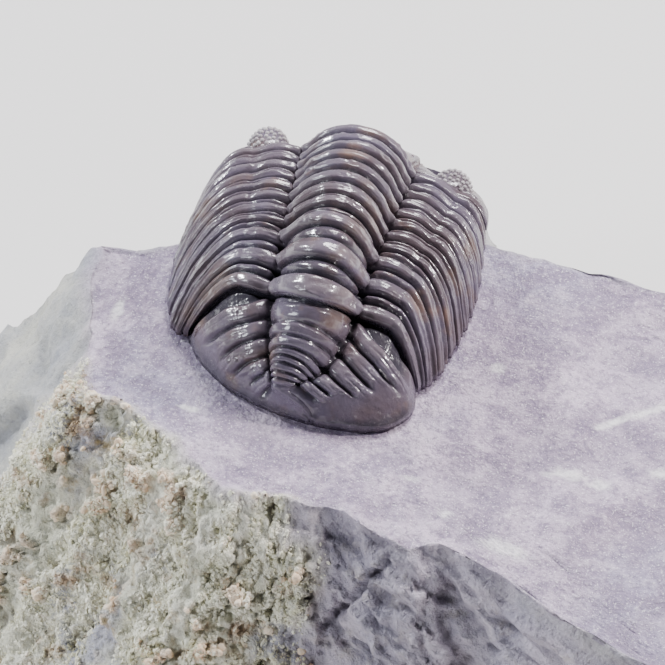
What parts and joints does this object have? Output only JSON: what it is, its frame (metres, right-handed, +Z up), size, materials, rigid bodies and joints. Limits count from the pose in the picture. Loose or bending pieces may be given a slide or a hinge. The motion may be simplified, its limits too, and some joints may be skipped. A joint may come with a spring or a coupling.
{
  "type": "trilobite fossil on matrix",
  "caption": "Arched trilobite prepared free of its stone, with head shield, ringed thorax and tail shield, on a loose block of limestone.",
  "frame": {"origin": "middle of the bounding box's bottom, on the flat underside of the block", "axes": "+Z up; +Y towards the fossil's head; +X to the right of a viewer who faces along +Y"},
  "size_m": [0.078, 0.067, 0.0377],
  "materials": {
    "limestone": "rough limestone",
    "cephalon_cuticle": "polished calcite cuticle",
    "segment_01_cuticle": "polished calcite cuticle",
    "segment_02_cuticle": "polished calcite cuticle",
    "segment_03_cuticle": "polished calcite cuticle",
    "segment_04_cuticle": "polished calcite cuticle",
    "segment_05_cuticle": "polished calcite cuticle",
    "segment_06_cuticle": "polished calcite cuticle",
    "segment_07_cuticle": "polished calcite cuticle",
    "segment_08_cuticle": "polished calcite cuticle",
    "segment_09_cuticle": "polished calcite cuticle",
    "segment_10_cuticle": "polished calcite cuticle",
    "segment_11_cuticle": "polished calcite cuticle",
    "pygidium_cuticle": "polished calcite cuticle"
  },
  "bodies": {
    "root": {"matrix_rock": "limestone", "cephalon": "cephalon_cuticle", "thorax_segment_01": "segment_01_cuticle", "thorax_segment_02": "segment_02_cuticle", "thorax_segment_03": "segment_03_cuticle", "thorax_segment_04": "segment_04_cuticle", "thorax_segment_05": "segment_05_cuticle", "thorax_segment_06": "segment_06_cuticle", "thorax_segment_07": "segment_07_cuticle", "thorax_segment_08": "segment_08_cuticle", "thorax_segment_09": "segment_09_cuticle", "thorax_segment_10": "segment_10_cuticle", "thorax_segment_11": "segment_11_cuticle", "pygidium": "pygidium_cuticle"}
  },
  "joints": []
}
